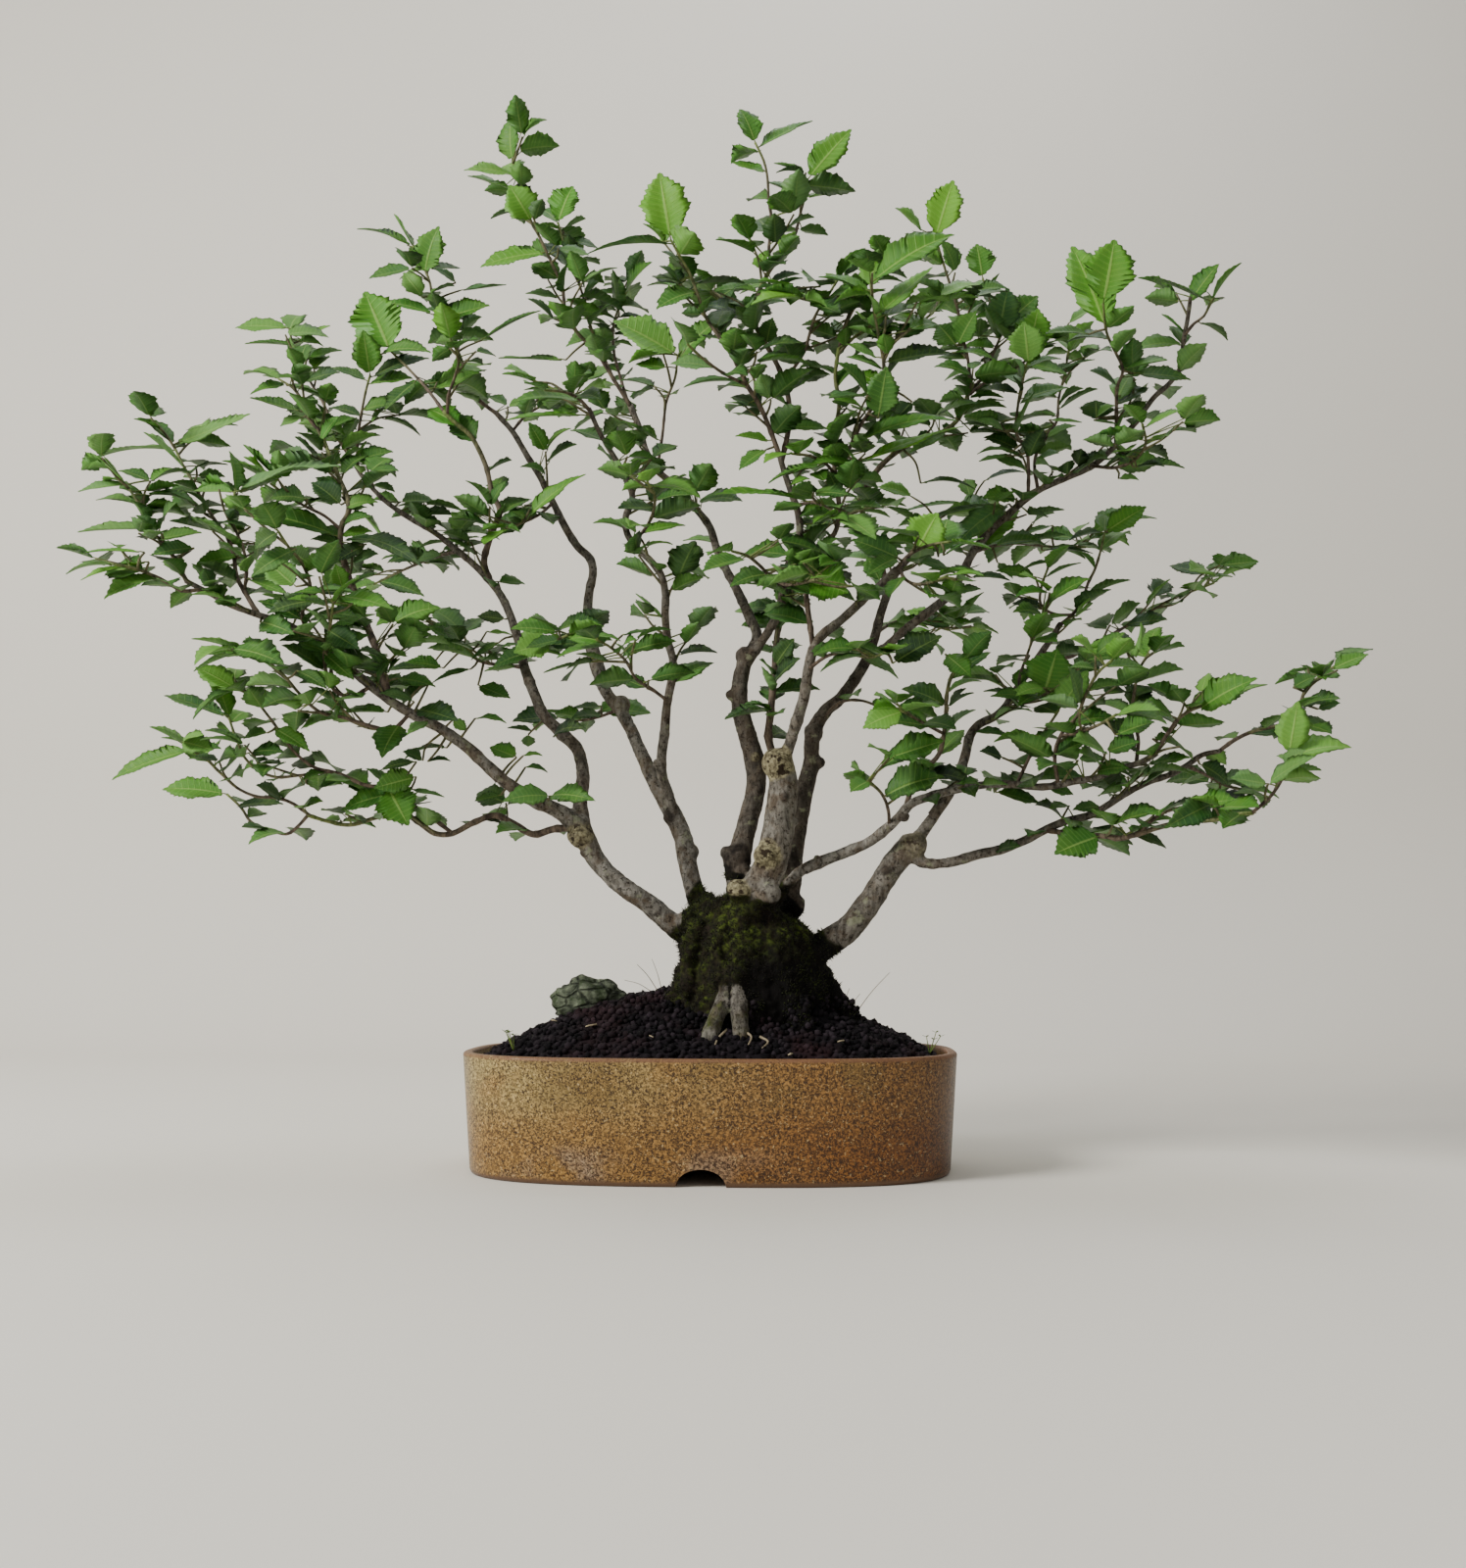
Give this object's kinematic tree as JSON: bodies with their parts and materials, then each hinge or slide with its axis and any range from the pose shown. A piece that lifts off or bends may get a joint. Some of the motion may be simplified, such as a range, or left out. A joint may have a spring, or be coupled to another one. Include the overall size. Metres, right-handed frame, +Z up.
{
  "type": "english elm bonsai in a glazed pot",
  "caption": "English elm bonsai with several stems on a mossy stump, open toothed foliage, in an oval speckled ochre glazed pot with soil and a small stone.",
  "frame": {"origin": "centre of the whole part on the surface that the pot stands on", "axes": "+X to the right along the pot's length, +Y to the back, +Z up"},
  "size_m": [1.0046, 0.3956, 0.8761],
  "materials": {
    "pot_glaze": "glossy ochre glaze with dark brown speckles and a bare brown rim edge",
    "drain_plastic": "matt dark mesh",
    "soil": "dark baked clay granules",
    "moss": "short dull moss",
    "stone": "pale green-grey wrinkled stone",
    "bark": "grey-brown rough bark with pale patches",
    "leaf": "satin green toothed leaves, brighter on new shoots"
  },
  "bodies": {
    "root": {"drain_mesh_left": "drain_plastic", "drain_mesh_right": "drain_plastic", "pot": "pot_glaze", "soil": "soil", "spray_arch_low": "leaf", "spray_arch_rise": "leaf", "spray_arch_tip": "leaf", "spray_arch_under": "leaf", "spray_arch_up": "leaf", "spray_arch_up_back": "leaf", "spray_arm_left": "leaf", "spray_arm_loop": "leaf", "spray_arm_middle": "leaf", "spray_arm_riser": "leaf", "spray_arm_tip": "leaf", "spray_back_end": "leaf", "spray_back_low": "leaf", "spray_back_out": "leaf", "spray_back_short": "leaf", "spray_back_tip": "leaf", "spray_centre_low": "leaf", "spray_centre_thin": "leaf", "spray_centre_whip": "leaf", "spray_crown": "leaf", "spray_crown_left": "leaf", "spray_fork_back": "leaf", "spray_fork_low": "leaf", "spray_fork_short": "leaf", "spray_fork_side": "leaf", "spray_fork_tip": "leaf", "spray_front_low": "leaf", "spray_front_up": "leaf", "spray_heart": "leaf", "spray_left_bow": "leaf", "spray_left_riser": "leaf", "spray_left_whip": "leaf", "spray_lone_riser": "leaf", "spray_low_front": "leaf", "spray_low_side": "leaf", "spray_low_tip": "leaf", "spray_mid_run": "leaf", "spray_right_mid": "leaf", "spray_right_short": "leaf", "spray_right_spur": "leaf", "spray_rise_a": "leaf", "spray_rise_b": "leaf", "spray_rise_c": "leaf", "spray_rise_tip": "leaf", "spray_second_low": "leaf", "spray_second_mid": "leaf", "spray_second_right": "leaf", "spray_second_tip": "leaf", "spray_third_mid": "leaf", "spray_third_side": "leaf", "spray_third_tip": "leaf", "spray_up_long": "leaf", "spray_up_low": "leaf", "spray_up_tip": "leaf", "stone": "stone", "tree": "bark"}
  },
  "joints": []
}
